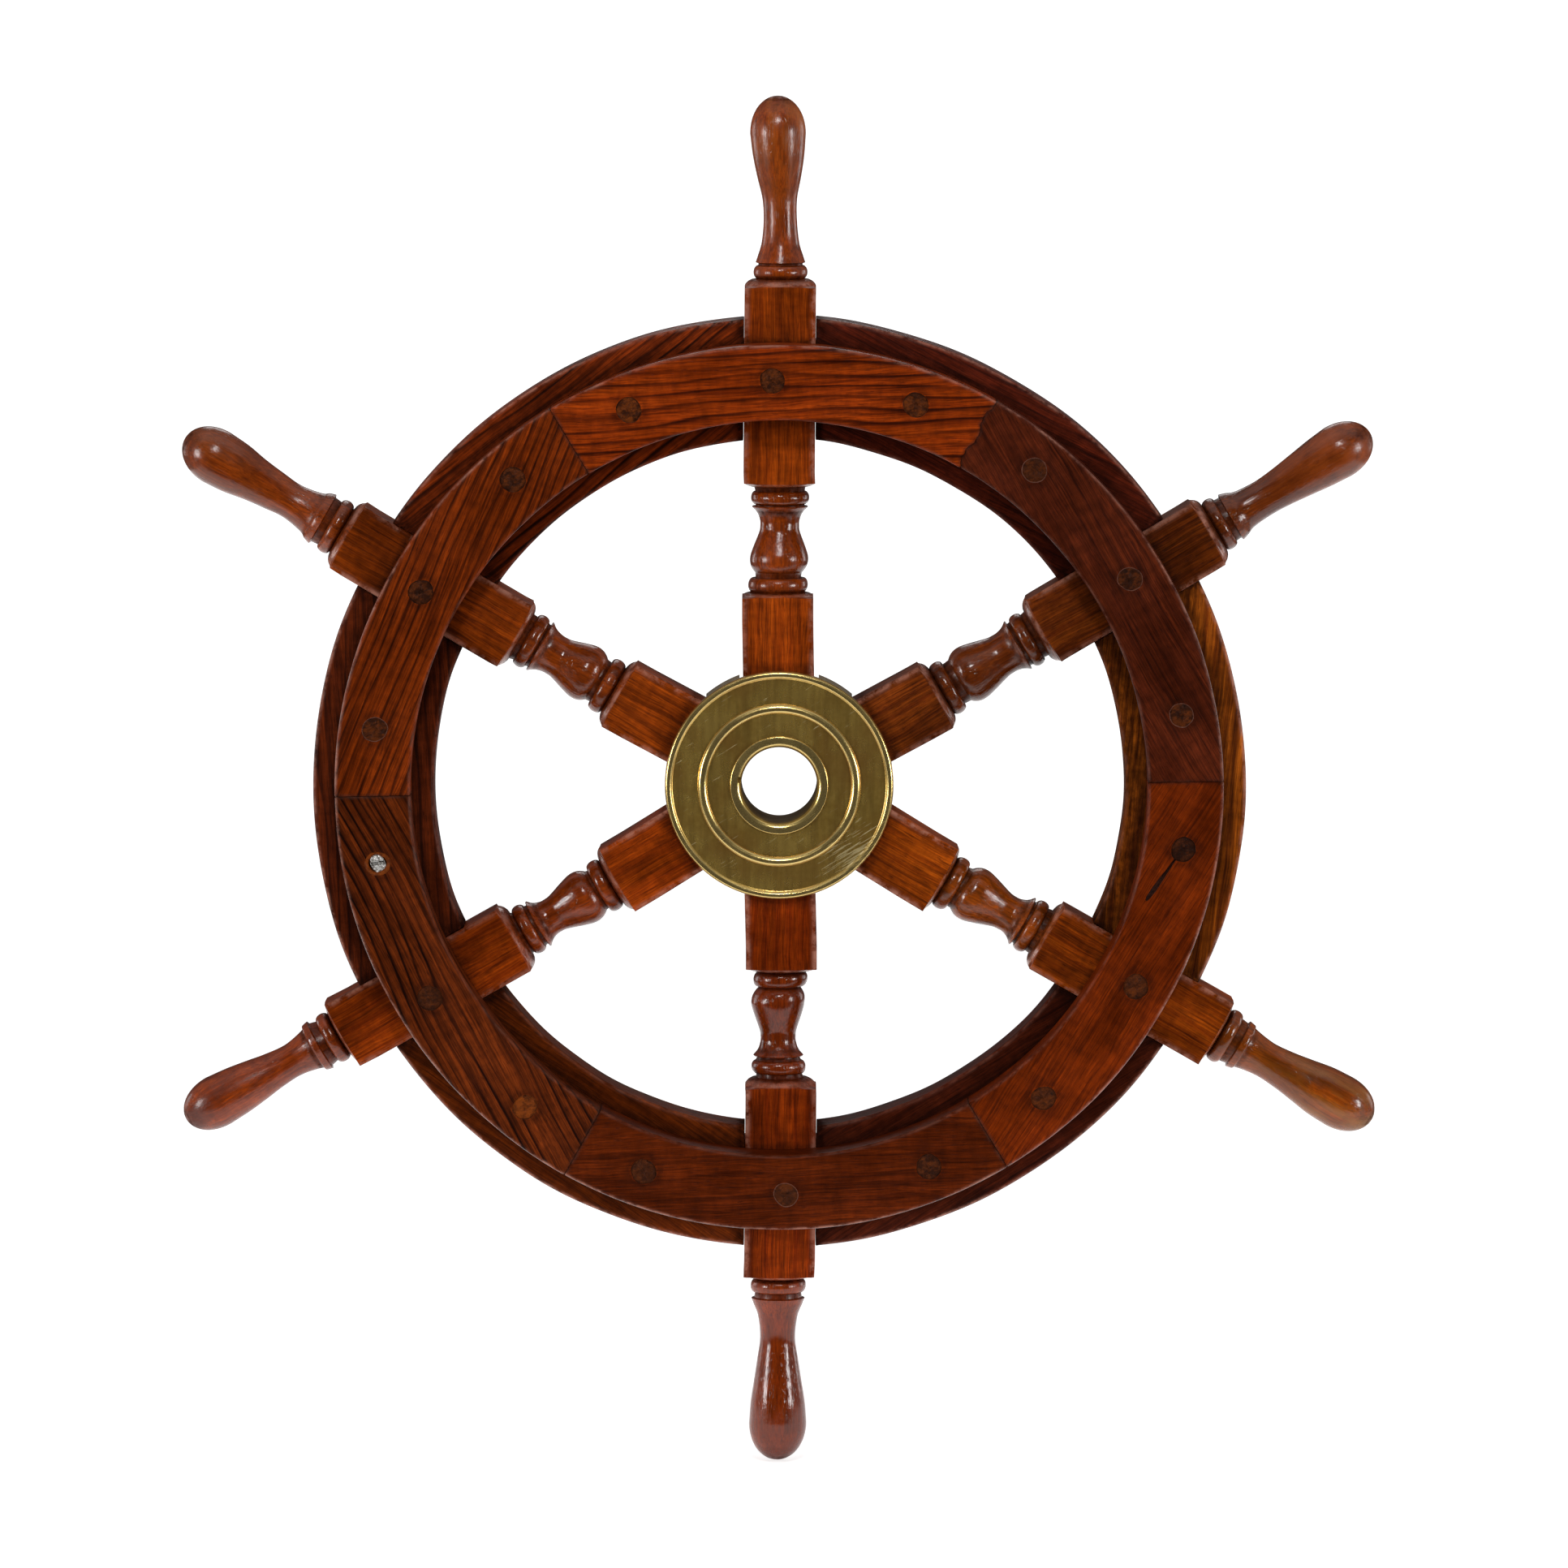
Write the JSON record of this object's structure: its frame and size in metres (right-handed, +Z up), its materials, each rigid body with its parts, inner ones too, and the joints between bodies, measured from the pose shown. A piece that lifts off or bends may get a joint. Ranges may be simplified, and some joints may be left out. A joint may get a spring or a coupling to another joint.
{
  "type": "ship steering wheel",
  "caption": "Wooden ship's steering wheel: turned spokes ending in handles, a rim of felloes between screwed-on facings, and a bored brass hub.",
  "frame": {"origin": "middle of the hub bore, at the wheel's centre", "axes": "+Z up through the top spoke, +Y along the axle towards the back of the wheel, so the front faces -Y, and +X to the right seen from the front"},
  "size_m": [0.332, 0.0478, 0.381],
  "materials": {
    "spoke_wood": "gloss varnish over reddish-brown stain",
    "felloe_wood": "satin varnish over dark red-brown stain",
    "facing_wood": "satin varnish over red-brown stain",
    "plug_wood": "satin varnish, end grain",
    "hub_brass": "aged lacquered brass",
    "screw_steel": "bright steel"
  },
  "bodies": {
    "root": {"spoke_12": "spoke_wood", "spoke_02": "spoke_wood", "spoke_04": "spoke_wood", "spoke_06": "spoke_wood", "spoke_08": "spoke_wood", "spoke_10": "spoke_wood", "felloe_01": "felloe_wood", "felloe_03": "felloe_wood", "felloe_05": "felloe_wood", "felloe_07": "felloe_wood", "felloe_09": "felloe_wood", "felloe_11": "felloe_wood", "front_facing_12": "facing_wood", "front_facing_02": "facing_wood", "front_facing_04": "facing_wood", "front_facing_06": "facing_wood", "front_facing_08": "facing_wood", "front_facing_10": "facing_wood", "back_facing_12": "facing_wood", "back_facing_02": "facing_wood", "back_facing_04": "facing_wood", "back_facing_06": "facing_wood", "back_facing_08": "facing_wood", "back_facing_10": "facing_wood", "front_plugs": "plug_wood", "back_plugs": "plug_wood", "front_screws": "screw_steel", "back_screws": "screw_steel", "front_hub_cap": "hub_brass", "back_hub_cap": "hub_brass", "hub_sleeve": "hub_brass"}
  },
  "joints": []
}
